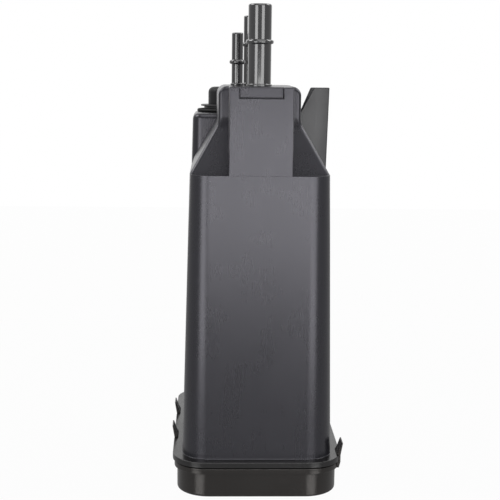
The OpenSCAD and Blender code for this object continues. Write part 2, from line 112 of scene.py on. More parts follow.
class VesselSizes(bpy.types.PropertyGroup):
    """Drafted vessel with its rear chamber and flange."""
    width: length("Width", "Width of the vessel where it meets its flange", 100.5)
    depth: length("Depth", "Depth of the vessel where it meets its flange", 164.2)
    corner: length("Corner", "Corner radius of the vessel at its flange", 18)
    draft: angle("Draft", "Lean of the moulded walls", 1.28)
    flange_z: length("Flange foot", "Height of the flange's underside", 21.2)
    foot_z: length("Flange top", "Height of the flange's upper face", 25)
    shoulder_z: length("Shoulder", "Height of the front shoulder", 213.5)
    tower_z: length("Rear chamber", "Height of the rear chamber's top", 250)
    tower_y: length("Rear chamber front", "Front of the rear chamber at the shoulder", 8)
    tower_corner: length("Rear chamber corner", "Radius of the rear chamber's front corners", 7.5)
    flange_out: length("Flange overhang", "Overhang of the flange past the walls", 6.5)
    flange_corner: length("Flange corner", "Corner radius of the flange", 22.5)
    fillet: length("Foot fillet", "Radius between the walls and the flange", 0.4)
    shoulder_round: length("Shoulder round", "Radius along the front shoulder's edge", 0.9)
    tower_round: length("Chamber round", "Radius along the rear chamber's upper edge", 4)
    edge: length("Edge", "Radius along the flange's edges", 0.5)


class DomeSizes(bpy.types.PropertyGroup):
    """Stepped dome, mounting block and mounting ear."""
    ledge: length("Ledge", "Depth of the shoulder in front of the dome", 28)
    back_y: length("Back", "Rear face of the upper box", 20)
    width: length("Width", "Width of the upper box", 55)
    eave_z: length("Eaves", "Height where the sloping sides end", 246.5)
    eave_round: length("Eave round", "Radius between the sloping sides and the upper box", 3)
    top_z: length("Top", "Height of the dome's top", 270.4)
    top_round: length("Top round", "Radius along the upper edges", 6)
    hip: length("Hip", "Forward run of the front slope under the eaves", 14)
    knee: length("Knee", "Half height of the bend between the front slope and the upright front", 4)
    lean: angle("Lean", "Backward lean of the upper box's front", 2.5)
    front_round: length("Front round", "Radius along the front outline", 2.5)
    box_flare: length("Box flare", "Widening of the upper box towards its back, on each side", 0.8)
    slope_flare: length("Slope flare", "Widening of the sloping sides towards their back, on each side", 1.5)
    flare_rise: length("Flare rise", "Height over which a flare begins or gives way to the other", 6)
    edge: length("Edge", "Radius along the other edges", 0.7)
    block_width: length("Block width", "Width of the mounting block", 41.6)
    block_set: length("Block step", "Step of the block behind the vessel's front", 0.4)
    socket_width: length("Socket width", "Width of the tongue socket", 28)
    socket_height: length("Socket height", "Height of the tongue socket", 7)
    socket_depth: length("Socket depth", "Depth of the tongue socket", 5)
    ear_thick: length("Ear", "Thickness of the mounting ear", 5)
    ear_root: length("Ear root", "Depth of the ear's root inside the walls beside it", 1)
    ear_out: length("Ear reach", "Reach of the ear past the side wall", 6.1)
    ear_fold: length("Ear fold", "Distance from the side wall to the ear's fold", 3.9)
    ear_turn: angle("Ear turn", "Angle of the ear's fold", 14)
    ear_lean: length("Ear lean", "Outward lean of the ear's outer edge", 2)
    ear_z: length("Ear top", "Height of the ear's top", 269)
    ear_foot_z: length("Ear foot", "Height of the ear's tapered foot", 163.5)
    ear_top_width: length("Ear top width", "Width of the ear's top in from its fold", 3.5)
    ear_slant: length("Ear slant", "Run of the ear's slanted inner edge", 8.1)
    ear_bevel: length("Ear bevel", "Width of the bevel along the ear's slanted edge", 2)


class PortSizes(bpy.types.PropertyGroup):
    """Three beaded hose ports."""
    tank: length("Tank port", "Diameter of the tank port", 15.82)
    tank_bore: length("Tank bore", "Bore of the tank port", 12)
    slim: length("Slim ports", "Diameter of the two slim ports", 7.89)
    slim_bore: length("Slim bore", "Bore of the two slim ports", 5)
    foot: length("Foot", "Depth of a port's foot inside the dome", 2)
    collar_out: length("Collar overhang", "Overhang of a collar past its tube", 0.8)
    collar: length("Collar", "Height of a collar", 1.2)
    collar_fillet: length("Collar fillet", "Radius between a collar and its tube", 0.4)
    bead_rise: length("Bead rise", "Rise of a bead above its tube", 1.6)
    bead: length("Bead", "Thickness of a bead", 2.9)
    edge: length("Edge", "Radius along a collar's edge and beside a bead", 0.3)
    tank_bead: length("Tank bead", "Distance from the tank port's tip to its bead", 25)
    slim_bead: length("Slim bead", "Distance from a slim port's tip to its bead", 20)
    tank_y: length("Tank place", "Place of the tank port from front to back", -34.99)
    tank_z: length("Tank tip", "Height of the tank port's tip", 324.6)
    purge_x: length("Purge side", "Place of the purge port from side to side", -14.3)
    purge_y: length("Purge place", "Place of the purge port from front to back", -8)
    purge_z: length("Purge tip", "Height of the purge port's tip", 306.3)
    return_x: length("Return side", "Place of the return port from side to side", -5.6)
    return_y: length("Return place", "Place of the return port from front to back", 10)
    return_z: length("Return tip", "Height of the return port's tip", 318.6)


class ValveSizes(bpy.types.PropertyGroup):
    """Vent valve on the rear chamber."""
    x: length("Side", "Place of the valve from side to side", -20)
    y: length("Place", "Place of the valve from front to back", 46)
    seal: length("Seal", "Radius of the seal", 22.5)
    waist: length("Waist", "Radius of the waist", 17.4)
    lip: length("Lip", "Radius of the lip", 19.8)
    cap: length("Cap", "Radius of the cap", 14.3)
    neck: length("Neck", "Radius of the neck", 12)
    neck_wall: length("Neck wall", "Thickness of the neck's wall", 2.5)
    neck_depth: length("Neck depth", "Depth of the neck inside the rear chamber", 6)
    seal_z: length("Seal foot", "Height of the seal's foot", 250)
    waist_z: length("Waist foot", "Height of the waist's foot", 252.3)
    lip_z: length("Lip foot", "Height of the lip's foot", 254.2)
    cap_z: length("Cap foot", "Height of the cap's foot", 255.3)
    top_z: length("Cap top", "Height of the cap's top", 268.2)
    seal_round: length("Seal round", "Radius round the seal's rim", 1.1)
    waist_round: length("Waist round", "Radius at both ends of the waist", 0.3)
    lip_foot: length("Lip foot round", "Radius round the lip's underside", 0.35)
    lip_round: length("Lip round", "Radius round the lip's top", 0.5)
    cap_foot: length("Cap foot round", "Radius round the cap's foot", 0.2)
    cap_round: length("Cap round", "Radius round the cap's top", 4)


class CoverSizes(bpy.types.PropertyGroup):
    """Base cover with its snap arms."""
    width: length("Cup width", "Width of the cup", 107.5)
    depth: length("Cup depth", "Depth of the cup", 171.2)
    corner: length("Cup corner", "Corner radius of the cup", 22)
    cup_draft: length("Cup draft", "Set-in of the cup's wall towards its foot", 0.05)
    foot_round: length("Foot round", "Radius round the cup's foot", 1.8)
    rim: length("Rim", "Overhang of the cover's flange past its cup", 1.8)
    cup_z: length("Cup top", "Height of the cup", 16.3)
    flange_z: length("Flange top", "Height of the cover's flange", 20.3)
    flange_corner: length("Flange corner", "Corner radius of the cover's flange", 21.3)
    edge: length("Edge", "Radius along the flange's edges", 0.6)
    arm_width: length("Arm width", "Width of a snap arm", 13)
    arm_thick: length("Arm", "Thickness of a snap arm", 1.8)
    arm_out: length("Arm reach", "Reach of a snap arm past the cover's flange", 1)
    arm_tip: length("Arm tip", "Thickness of a snap arm at its tip", 0.8)
    arm_height: length("Arm height", "Height of a release tab above the body's flange", 8.5)
    arm_lean: angle("Arm lean", "Outward lean of a release tab", 10)
    arm_edge: length("Arm edge", "Radius along a snap arm's edges", 0.25)
    barb: length("Barb", "Reach of a snap arm's barb", 1.0)
    barb_height: length("Barb height", "Height of a snap arm's barb", 2.6)
    barb_gap: length("Barb gap", "Clearance between a barb and the body's flange", 0.2)
    arm_gap: length("Arm gap", "Clearance round a snap arm in its notch", 0.4)


class Colours(bpy.types.PropertyGroup):
    """Base colours of the finishes."""
    body: colour("Body", "Satin moulded plastic of the vessel", (0.0144, 0.0144, 0.0172))
    # The flange is moulded with the body; its darker colour is painted shade, not a plastic of its own
    flange: colour("Flange", "Body plastic of the vessel's flange, darkened as painted shade", (0.0100, 0.0095, 0.0098))
    port: colour("Ports", "Smooth moulded plastic of the hose ports", (0.016, 0.016, 0.018))
    cover: colour("Cover", "Dark moulded plastic of the base cover", (0.0100, 0.0090, 0.0085))
    valve: colour("Valve", "Plastic of the valve's body", (0.038, 0.038, 0.039))
    cap: colour("Cap", "Plastic of the valve's cap", (0.015, 0.015, 0.016))
    rubber: colour("Rubber", "Rubber of the seals", (0.010, 0.010, 0.010))
    carbon: colour("Carbon", "Granulated carbon", (0.012, 0.012, 0.012))
    felt: colour("Felt", "Felt of the filter pads", (0.66, 0.62, 0.52))
    plate: colour("Plates", "Plastic of the pressure plates", (0.09, 0.09, 0.10))
    steel: colour("Steel", "Spring steel", (0.48, 0.49, 0.50))


class StageSizes(bpy.types.PropertyGroup):
    """Camera, floor and lamps."""
    camera: FloatVectorProperty(name="Camera", description="Place of the camera", size=3,
                                subtype="TRANSLATION", default=(-0.032419, -0.815249, 0.283425))
    yaw: angle("Yaw", "Turn of the camera to the right", 2.01744)
    pitch: angle("Pitch", "Dip of the camera", 9.07682)
    roll: angle("Roll", "Roll of the camera", 0.67862)
    lens: amount("Lens", "Focal length in millimetres", 82.8)
    front: amount("Front lamp", "Radiance of the front lamp", 4.65)
    left: amount("Left lamp", "Radiance of the left lamp", 3.6)
    right: amount("Right lamp", "Radiance of the right lamp", 3.3)
    low: amount("Low lamps", "Radiance of the lamps below the floor", 3.2)
    side: amount("Side lamps", "Radiance of the high lamps at the sides", 4.8)
    top: amount("Top lamp", "Radiance of the top lamp", 1.6)
    ambient: amount("Ambient", "Strength of the surroundings' own light", 0.2)
    mirrored: amount("Mirrored", "Share of white in what the canister mirrors", 0.29)
    glow: amount("Floor", "Share of white in the floor as the camera sees it", 0.97)


class Socket:
    """Output socket of a shader tree. Arithmetic on it adds Math nodes."""

    def __init__(self, tree, output):
        self.tree = tree
        self.output = output

    def math(self, operation, *values):
        return self.tree.node("ShaderNodeMath", {"operation": operation}, dict(enumerate(values)))

    def most(self, other):
        return self.math("MAXIMUM", self, other)

    def __add__(self, other):
        return self.math("ADD", self, other)

    def __sub__(self, other):
        return self.math("SUBTRACT", self, other)

    def __rsub__(self, other):
        return self.math("SUBTRACT", other, self)

    def __mul__(self, other):
        return self.math("MULTIPLY", self, other)

    __radd__ = __add__
    __rmul__ = __mul__


class Shader:
    """Node tree of a material or of the world."""

    def __init__(self, owner):
        owner.use_nodes = True
        self.owner = owner
        self.nodes = owner.node_tree.nodes
        self.links = owner.node_tree.links
        self.nodes.clear()

    def node(self, kind, settings=None, sockets=None, output=0):
        """Adds a node, sets it up, feeds its sockets and returns one of its outputs, if it has any."""
        node = self.nodes.new(kind)
        for name, value in (settings or {}).items():
            setattr(node, name, value)
        for name, value in (sockets or {}).items():
            if isinstance(value, Socket):
                self.links.new(value.output, node.inputs[name])
            else:
                node.inputs[name].default_value = value
        return Socket(self, node.outputs[output]) if node.outputs else None

    def place(self, stretch):
        """Object coordinates, stretched by a factor for each axis."""
        where = self.node("ShaderNodeTexCoord", output="Object")
        return self.node("ShaderNodeMapping", sockets={"Vector": where, "Scale": stretch})

    def noise(self, scale, detail=2.0, roughness=0.5, stretch=(1, 1, 1)):
        """Even noise from 0 to 1, with its grain per metre."""
        return self.node("ShaderNodeTexNoise", sockets={
            "Vector": self.place(stretch), "Scale": scale, "Detail": detail, "Roughness": roughness})

    def cells(self, scale):
        """Distance to the nearest of scattered points."""
        return self.node("ShaderNodeTexVoronoi", sockets={"Vector": self.place((1, 1, 1)), "Scale": scale})

    def between(self, value, low=0.3, high=0.7, to_low=0.0, to_high=1.0):
        """Maps a value's range smoothly to another. Most of a noise lies between 0.3 and 0.7."""
        return self.node("ShaderNodeMapRange", {"interpolation_type": "SMOOTHSTEP"}, {
            "Value": value, "From Min": low, "From Max": high, "To Min": to_low, "To Max": to_high})

    def mix(self, factor, first, second):
        """Mixes two colours, by the node's colour sockets."""
        return self.node("ShaderNodeMix", {"data_type": "RGBA"}, {0: factor, 6: first, 7: second}, 2)

    def bump(self, height, strength, distance):
        return self.node("ShaderNodeBump", sockets={
            "Height": height, "Strength": strength, "Distance": distance})

    def finish(self, base, roughness, normal=None, **constants):
        """Principled surface; what varies comes as sockets, and constants go straight on theirs."""
        sockets = {"Base Color": base, "Roughness": roughness}
        if normal is not None:
            sockets["Normal"] = normal
        sockets.update({name.replace("_", " "): value for name, value in constants.items()})
        return self.show(self.node("ShaderNodeBsdfPrincipled", sockets=sockets))

    def show(self, surface):
        """Makes a surface the material's own and returns the material."""
        self.node("ShaderNodeOutputMaterial", sockets={"Surface": surface})
        return self.owner


def shade(value, factor=1.0):
    """A colour made lighter or darker, with full alpha."""
    return tuple(min(1.0, part * factor) for part in value) + (1.0,)


def satin_plastic(name, value, roughness, spread, specular, streak=0.08, tint=(1, 1, 1)):
    """Moulded plastic: faint flow streaks, a cloudy sheen, fine spark-eroded grain and a few specks."""
    tree = Shader(bpy.data.materials.new(name))
    flow = tree.noise(1.0, detail=3.0, roughness=0.55, stretch=(900, 900, 6))
    cloud = tree.noise(38, detail=3.0)
    grain = tree.noise(2600, roughness=0.6)
    speck = tree.between(tree.noise(900, detail=1.0, roughness=0.4), 0.74, 0.80)
    tone = tree.between(flow * 0.6 + cloud * 0.4)
    base = tree.mix(tone, shade(value, 1 - streak), shade(value, 1 + streak))
    base = tree.mix(speck * 0.35, base, shade(value, 1.9))
    rough = tree.between(cloud * 0.7 + flow * 0.3, to_low=roughness - spread, to_high=roughness + spread)
    normal = tree.bump(grain, strength=0.10, distance=0.0004)
    return tree.finish(base, rough, normal, Specular_IOR_Level=specular, Specular_Tint=shade(tint))


def gloss_plastic(name, value, roughness):
    """Smooth moulded plastic with a clear sheen, broken only by faint lines drawn along it."""
    tree = Shader(bpy.data.materials.new(name))
    drawn = tree.noise(1.0, detail=3.0, stretch=(700, 700, 4))
    cloud = tree.noise(60)
    base = tree.mix(drawn, shade(value, 0.85), shade(value, 1.15))
    rough = tree.between(cloud, to_low=roughness * 0.8, to_high=roughness * 1.2)
    return tree.finish(base, rough, Specular_IOR_Level=0.75, Coat_Weight=1.0, Coat_Roughness=roughness / 2)


def rubber(name, value):
    """Dull seal rubber with a powdery bloom."""
    tree = Shader(bpy.data.materials.new(name))
    bloom = tree.between(tree.noise(140, detail=4.0, roughness=0.6), 0.35, 0.75)
    grain = tree.noise(1800, roughness=0.6)
    base = tree.mix(bloom, shade(value, 0.8), shade(value, 2.2))
    normal = tree.bump(grain, strength=0.15, distance=0.0003)
    return tree.finish(base, bloom * 0.2 + 0.55, normal, Specular_IOR_Level=0.3)


def granules(name, value):
    """Packed carbon granules."""
    tree = Shader(bpy.data.materials.new(name))
    gap = tree.cells(420)
    tint = tree.noise(300)
    base = tree.mix(tint, shade(value, 0.6), shade(value, 2.4))
    return tree.finish(base, tint * 0.2 + 0.6, tree.bump(1 - gap, strength=0.7, distance=0.0012))


def felt(name, value):
    """Needled felt: short crossing fibres and soft lumps."""
    tree = Shader(bpy.data.materials.new(name))
    along, across = (tree.noise(1.0, detail=3.0, roughness=0.6, stretch=stretch)
                     for stretch in ((900, 240, 900), (240, 900, 900)))
    fibre = along * 0.5 + across * 0.5
    lump = tree.noise(70, detail=3.0)
    tone = tree.between(fibre * 0.7 + lump * 0.3, 0.35, 0.65)
    base = tree.mix(tone, shade(value, 0.7), shade(value, 1.15))
    return tree.finish(base, lump * 0.1 + 0.85, tree.bump(fibre, strength=0.5, distance=0.0008))


def spring_steel(name, value):
    """Drawn wire with fine scratches and faint straw tint."""
    tree = Shader(bpy.data.materials.new(name))
    scratch = tree.noise(1.0, detail=4.0, roughness=0.65, stretch=(200, 200, 3200))
    heat = tree.noise(90)
    straw = [part * factor for part, factor in zip(value, (1.15, 1.08, 0.92))]
    base = tree.mix(heat, shade(value, 0.85), shade(straw))
    rough = tree.between(scratch, to_low=0.22, to_high=0.42)
    return tree.finish(base, rough, tree.bump(scratch, strength=0.1, distance=0.0002), Metallic=1.0)


def clamp(share):
    return min(1.0, max(0.0, share))


def rounded_face(bm, half_x, half_y, z, radius, segments=16):
    """Flat face about the middle that looks up, with four round corners."""
    signs = ((-1, -1), (1, -1), (1, 1), (-1, 1))
    corners = [bm.verts.new((side * half_x, end * half_y, z)) for side, end in signs]
    bm.faces.new(corners)
    round_corners(bm, corners, radius, segments)
    bm.faces.ensure_lookup_table()
    return bm.faces[-1]


def round_corners(bm, verts, radius, segments):
    bmesh.ops.bevel(bm, geom=verts, offset=radius, offset_type="OFFSET", segments=segments, profile=0.5,
                    affect="VERTICES", material=-1)


def round_edges(bm, edges, radius, segments=3):
    bmesh.ops.bevel(bm, geom=edges, offset=radius, offset_type="OFFSET", segments=segments, profile=0.5,
                    affect="EDGES", material=-1, clamp_overlap=True)


def sharp_edges(bm, least=30):
    """Edges whose two faces meet at more than an angle in degrees."""
    return [edge for edge in bm.edges if len(edge.link_faces) == 2
            and edge.calc_face_angle(0) > math.radians(least)]


def split_side(face, inner, y):
    """Splits the edge of a flat face that passes y outside an inner x, and returns the new vertex."""
    edge = next(e for e in face.edges if all(v.co.x / inner > 1 for v in e.verts)
                and min(v.co.y for v in e.verts) < y < max(v.co.y for v in e.verts))
    start, end = edge.verts
    return bmesh.utils.edge_split(edge, start, (y - start.co.y) / (end.co.y - start.co.y))[1]


def raise_face(bm, face, steps):
    """Sets a face in and up, one step after another."""
    for inset, rise in steps:
        bmesh.ops.inset_region(bm, faces=[face], thickness=inset, depth=rise, use_boundary=True,
                               use_even_offset=True)


def quarter_steps(radius, hollow, segments=4):
    """Set-in and rise of each step of a quarter round, hollow at a wall's foot or full at its top."""
    turns = [QUARTER * i / segments for i in range(segments + 1)]
    steps = [(radius * (math.sin(b) - math.sin(a)), radius * (math.cos(a) - math.cos(b)))
             for a, b in zip(turns, turns[1:])]
    return steps if hollow else [(rise, inset) for inset, rise in steps]


def extrude(bm, faces, offset):
    """Extrudes a face region by an offset and returns its far faces."""
    made = bmesh.ops.extrude_face_region(bm, geom=faces)["geom"]
    bmesh.ops.translate(bm, vec=offset, verts=[part for part in made if isinstance(part, bmesh.types.BMVert)])
    return [part for part in made if isinstance(part, bmesh.types.BMFace)]


def thicken(bm, offset):
    """Makes a flat outline a closed body."""
    extrude(bm, bm.faces[:], offset)
    bmesh.ops.recalc_face_normals(bm, faces=bm.faces[:])


def bisect(bm, point, normal):
    bmesh.ops.bisect_plane(bm, geom=bm.verts[:] + bm.edges[:] + bm.faces[:], dist=MERGED, plane_co=point,
                           plane_no=normal)


def turned(points, x, y, corner_segments=6, steps=64):
    """Spins a closed profile about a standing axis. A point is a radius, a height and a corner radius."""
    bm = bmesh.new()
    corners = [bm.verts.new((x + r, y, z)) for r, z, _ in points]
    bm.faces.new(corners)
    for vert, (_, _, radius) in zip(corners, points):
        if radius:
            round_corners(bm, [vert], radius, corner_segments)
    bmesh.ops.delete(bm, geom=bm.faces[:], context="FACES_ONLY")
    bmesh.ops.spin(bm, geom=bm.verts[:] + bm.edges[:], cent=(x, y, 0), axis=(0, 0, 1), angle=2 * math.pi,
                   steps=steps, use_merge=True)
    bmesh.ops.remove_doubles(bm, verts=bm.verts[:], dist=MERGED)
    bmesh.ops.recalc_face_normals(bm, faces=bm.faces[:])
    return bm


def add_object(bm, name, material):
    """Turns a bmesh into an object of one material."""
    mesh = bpy.data.meshes.new(name)
    bm.to_mesh(mesh)
    bm.free()
    mesh.materials.append(material)
    made = bpy.data.objects.new(name, mesh)
    bpy.context.scene.collection.objects.link(made)
    return made


def add_piece(bm, name, material, slot, *nodes):
    """Turns a bmesh into a piece of the canister that rides on it and stands for solids of the frame."""
    piece = add_object(bm, name, material)
    piece.data.shade_smooth()
    piece.data.set_sharp_from_angle(angle=SHARP)
    normals = piece.modifiers.new("Even normals", "WEIGHTED_NORMAL")
    normals.keep_sharp = True
    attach(piece, "root")
    if nodes:
        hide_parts(*nodes)


class Plan:
    """Places that several pieces share, worked out from the sizes."""

    def __init__(self, scene):
        vessel, dome = scene.canister_vessel, scene.canister_dome
        self.fall = math.tan(vessel.draft)
        corner = vessel.corner - self.fall * (vessel.shoulder_z - vessel.foot_z)
        self.side_x = vessel.width / 2 - vessel.corner + corner
        self.front_y = vessel.corner - vessel.depth / 2 - corner
        self.dome_y = self.front_y + dome.ledge
        self.ledge_end = self.dome_y + SUNK
        self.arc_x = self.side_x - vessel.tower_corner
        self.arc_y = vessel.tower_y + vessel.tower_corner


class CANISTER_OT_vessel(bpy.types.Operator):
    """Drafted vessel, from the flange to the front shoulder and the rear chamber's top"""
    bl_idname = "canister.vessel"
    bl_label = "Vessel"

    def execute(self, context):
        sizes, plan = context.scene.canister_vessel, Plan(context.scene)
        bm = bmesh.new()
        face = rounded_face(bm, sizes.width / 2 + sizes.fillet, sizes.depth / 2 + sizes.fillet, sizes.foot_z,
                            sizes.corner + sizes.fillet)
        wall = sizes.shoulder_z - sizes.foot_z - sizes.fillet
        raise_face(bm, face, quarter_steps(sizes.fillet, hollow=True) + [(plan.fall * wall, wall)])
        front, rear = self.part_top(face, plan, sizes)
        tower = sizes.tower_z - sizes.shoulder_z - sizes.tower_round
        raise_face(bm, rear, [(plan.fall * tower, tower)] + quarter_steps(sizes.tower_round, hollow=False))
        ledge = [edge for edge in front.edges if max(v.co.y for v in edge.verts) < plan.ledge_end + NEAR]
        round_edges(bm, ledge, sizes.shoulder_round)
        material = satin_plastic("body plastic", context.scene.canister_colours.body, roughness=0.28,
                                 spread=0.015, specular=0.62, streak=0.05, tint=(0.93, 0.91, 1.0))
        add_piece(bm, "body_vessel", material, "body_plastic", "canister_body")
        return {"FINISHED"}

    @staticmethod
    def part_top(face, plan, sizes):
        """Parts the top face into the front shoulder and the rear chamber's foot, which has round corners."""
        ends = []
        for side in (-1, 1):
            inner = side * (plan.side_x - NEAR)
            split_side(face, inner, plan.ledge_end)
            ends.append(split_side(face, inner, plan.arc_y))
        left = [2 * QUARTER + QUARTER * i / ARC_STEPS for i in range(1, ARC_STEPS + 1)]
        right = [3 * QUARTER + QUARTER * i / ARC_STEPS for i in range(ARC_STEPS)]
        arc = [(side * plan.arc_x + sizes.tower_corner * math.cos(turn),
                plan.arc_y + sizes.tower_corner * math.sin(turn), sizes.shoulder_z)
               for side, turns in ((-1, left), (1, right)) for turn in turns]
        other, _ = bmesh.utils.face_split(face, *ends, coords=arc)
        return sorted((face, other), key=lambda f: f.calc_center_bounds().y)


class CANISTER_OT_flange(bpy.types.Operator):
    """Flange round the vessel's foot, notched for the snap arms"""
    bl_idname = "canister.flange"
    bl_label = "Flange"

    def execute(self, context):
        sizes, cover = context.scene.canister_vessel, context.scene.canister_cover
        bm = bmesh.new()
        face = rounded_face(bm, sizes.width / 2 + sizes.flange_out, sizes.depth / 2 + sizes.flange_out,
                            sizes.flange_z, sizes.flange_corner)
        inner = cover.width / 2 + cover.rim + cover.arm_out - cover.arm_thick - cover.arm_gap
        reach = cover.arm_width / 2 + cover.arm_gap
        for _, side, places in SNAP_ARMS:
            for y in places:
                face = self.notch(bm, face, side * inner, y - reach, y + reach)
        thicken(bm, (0, 0, sizes.foot_z - sizes.flange_z))
        round_edges(bm, sharp_edges(bm), sizes.edge)
        # Body plastic with a darker base colour: the darkness is painted shade on the flange band
        material = satin_plastic("flange plastic with painted shade", context.scene.canister_colours.flange, roughness=0.23,
                                 spread=0.03, specular=0.55)
        add_piece(bm, "body_flange", material, "body_plastic")
        return {"FINISHED"}

    @staticmethod
    def notch(bm, face, inner, y0, y1):
        """Cuts one notch into the side of a flat face and returns what is left of the face."""
        ends = [split_side(face, inner, y) for y in (y0, y1)]
        z = ends[0].co.z
        other, _ = bmesh.utils.face_split(face, *ends, coords=[(inner, y0, z), (inner, y1, z)])
        cut, kept = sorted((face, other), key=lambda f: f.calc_area())
        bmesh.ops.delete(bm, geom=[cut], context="FACES")
        return kept


class CANISTER_OT_dome(bpy.types.Operator):
    """Stepped dome on the shoulder, with sloping sides and a round-edged upper box"""
    bl_idname = "canister.dome"
    bl_label = "Dome"

    def execute(self, context):
        sizes, plan = context.scene.canister_dome, Plan(context.scene)
        shoulder_z = context.scene.canister_vessel.shoulder_z
        bm = bmesh.new()
        half = sizes.width / 2
        foot = plan.side_x - SKIN
        right = [(foot, shoulder_z - SUNK), (foot, shoulder_z), (half, sizes.eave_z), (half, sizes.top_z)]
        outline = right + [(-x, z) for x, z in reversed(right)]
        verts = [bm.verts.new((x, plan.dome_y, z)) for x, z in outline]
        bm.faces.new(verts)
        _, _, right_eave, right_top, left_top, left_eave, _, _ = verts
        round_corners(bm, [right_eave, left_eave], sizes.eave_round, segments=4)
        round_corners(bm, [right_top, left_top], sizes.top_round, segments=8)
        thicken(bm, (0, sizes.back_y - plan.dome_y, 0))
        round_edges(bm, self.rim(bm, sizes.back_y, shoulder_z), sizes.edge)
        round_edges(bm, self.rim(bm, plan.dome_y, shoulder_z), sizes.front_round, segments=8)
        levels = [sizes.eave_z + sizes.knee * i / KNEE_STEPS for i in range(-KNEE_STEPS, KNEE_STEPS + 1)]
        for z in levels + [shoulder_z + sizes.flare_rise, sizes.eave_z - sizes.flare_rise]:
            bisect(bm, (0, 0, z), (0, 0, 1))
        middle = (plan.dome_y + sizes.back_y) / 2
        for vert in bm.verts:
            if vert.co.y < middle:
                vert.co.y -= sizes.hip * self.under_eaves(sizes, vert.co.z) / (sizes.eave_z - shoulder_z)
                vert.co.y += max(0.0, vert.co.z - sizes.eave_z) * math.tan(sizes.lean)
            else:
                vert.co.x += math.copysign(self.flare(sizes, shoulder_z, vert.co.z), vert.co.x)
        add_piece(bm, "body_dome", bpy.data.materials["body plastic"], "body_plastic")
        return {"FINISHED"}

    @staticmethod
    def rim(bm, y, shoulder_z):
        """Edges of the outline at one end, without its foot inside the vessel."""
        return [edge for edge in bm.edges if all(abs(v.co.y - y) < NEAR for v in edge.verts)
                and max(v.co.z for v in edge.verts) > shoulder_z - NEAR]

    @staticmethod
    def flare(sizes, shoulder_z, z):
        """Widening at the back: none at the shoulder, most along the slope, little above the eaves."""
        begun = clamp((z - shoulder_z) / sizes.flare_rise)
        above = clamp((z - sizes.eave_z) / sizes.flare_rise + 1)
        return begun * (sizes.slope_flare + (sizes.box_flare - sizes.slope_flare) * above)

    @staticmethod
    def under_eaves(sizes, z):
        """Depth of a height under the eaves, with a smooth start over the bend."""
        under = sizes.eave_z + sizes.knee - z
        if under > 2 * sizes.knee:
            return sizes.eave_z - z
        return max(0.0, under) ** 2 / (4 * sizes.knee)


class CANISTER_OT_block(bpy.types.Operator):
    """Mounting block in front of the dome, with a tongue socket open to the front and the top"""
    bl_idname = "canister.block"
    bl_label = "Mounting block"

    def execute(self, context):
        sizes, plan = context.scene.canister_dome, Plan(context.scene)
        shoulder_z = context.scene.canister_vessel.shoulder_z
        front = plan.front_y + sizes.block_set
        half, socket = sizes.block_width / 2, sizes.socket_width / 2
        columns = (-half, -socket, socket, half)
        rows = (front, front + sizes.socket_depth, plan.ledge_end)
        bm = bmesh.new()
        bmesh.ops.create_grid(bm, x_segments=3, y_segments=2, size=1)
        for vert in bm.verts:
            # The grid runs from -1 to 1, with three cells across and two from front to back
            column, row = round((vert.co.x + 1) * 1.5), round(vert.co.y + 1)
            vert.co = (columns[column], rows[row], shoulder_z - SUNK)
        socket_z = sizes.top_z - sizes.socket_height
        top = extrude(bm, bm.faces[:], (0, 0, socket_z - shoulder_z + SUNK))
        raised = [face for face in top if abs(face.calc_center_median().x) > socket
                  or face.calc_center_median().y > front + sizes.socket_depth]
        extrude(bm, raised, (0, 0, sizes.socket_height))
        bmesh.ops.recalc_face_normals(bm, faces=bm.faces[:])
        bmesh.ops.dissolve_limit(bm, angle_limit=FLAT, verts=bm.verts[:], edges=bm.edges[:])
        round_edges(bm, [edge for edge in sharp_edges(bm) if max(v.co.z for v in edge.verts) > shoulder_z],
                    sizes.edge)
        add_piece(bm, "body_block", bpy.data.materials["body plastic"], "body_plastic")
        return {"FINISHED"}


class CANISTER_OT_ear(bpy.types.Operator):
    """Folded mounting ear beside the rear chamber"""
    bl_idname = "canister.ear"
    bl_label = "Mounting ear"

    def execute(self, context):
        sizes, vessel, plan = context.scene.canister_dome, context.scene.canister_vessel, Plan(context.scene)
        fold = plan.side_x - sizes.ear_fold
        reach = plan.side_x + sizes.ear_out
        inner = sizes.width / 2 - sizes.ear_root
        foot = plan.side_x + plan.fall * (vessel.shoulder_z - sizes.ear_foot_z) - sizes.ear_root
        top = fold - sizes.ear_top_width
        root_z = vessel.shoulder_z - sizes.ear_thick
        lean_z = (vessel.shoulder_z + sizes.ear_foot_z) / 2
        outline = ((inner, root_z), (fold, root_z), (foot, sizes.ear_foot_z),
                   (reach - sizes.ear_lean, lean_z), (reach, sizes.ear_z), (top, sizes.ear_z),
                   (top - sizes.ear_slant, vessel.tower_z), (inner, vessel.tower_z))
        bm = bmesh.new()
        verts = [bm.verts.new((x, vessel.tower_y, z)) for x, z in outline]
        bm.faces.new(verts)
        bisect(bm, (fold, 0, 0), (1, 0, 0))
        for vert in bm.verts:
            vert.co.y += max(0.0, vert.co.x - fold) * math.tan(sizes.ear_turn)
        thicken(bm, (0, sizes.ear_thick, 0))
        slant_top, slant_foot = verts[5:7]
        round_edges(bm, [bm.edges.get((slant_top, slant_foot))], sizes.ear_bevel, segments=1)
        round_edges(bm, sharp_edges(bm, least=50), sizes.edge)
        material = satin_plastic("ear plastic", context.scene.canister_colours.body, roughness=0.4,
                                 spread=0.03, specular=0.62, streak=0.07)
        add_piece(bm, "body_ear", material, "body_plastic")
        return {"FINISHED"}


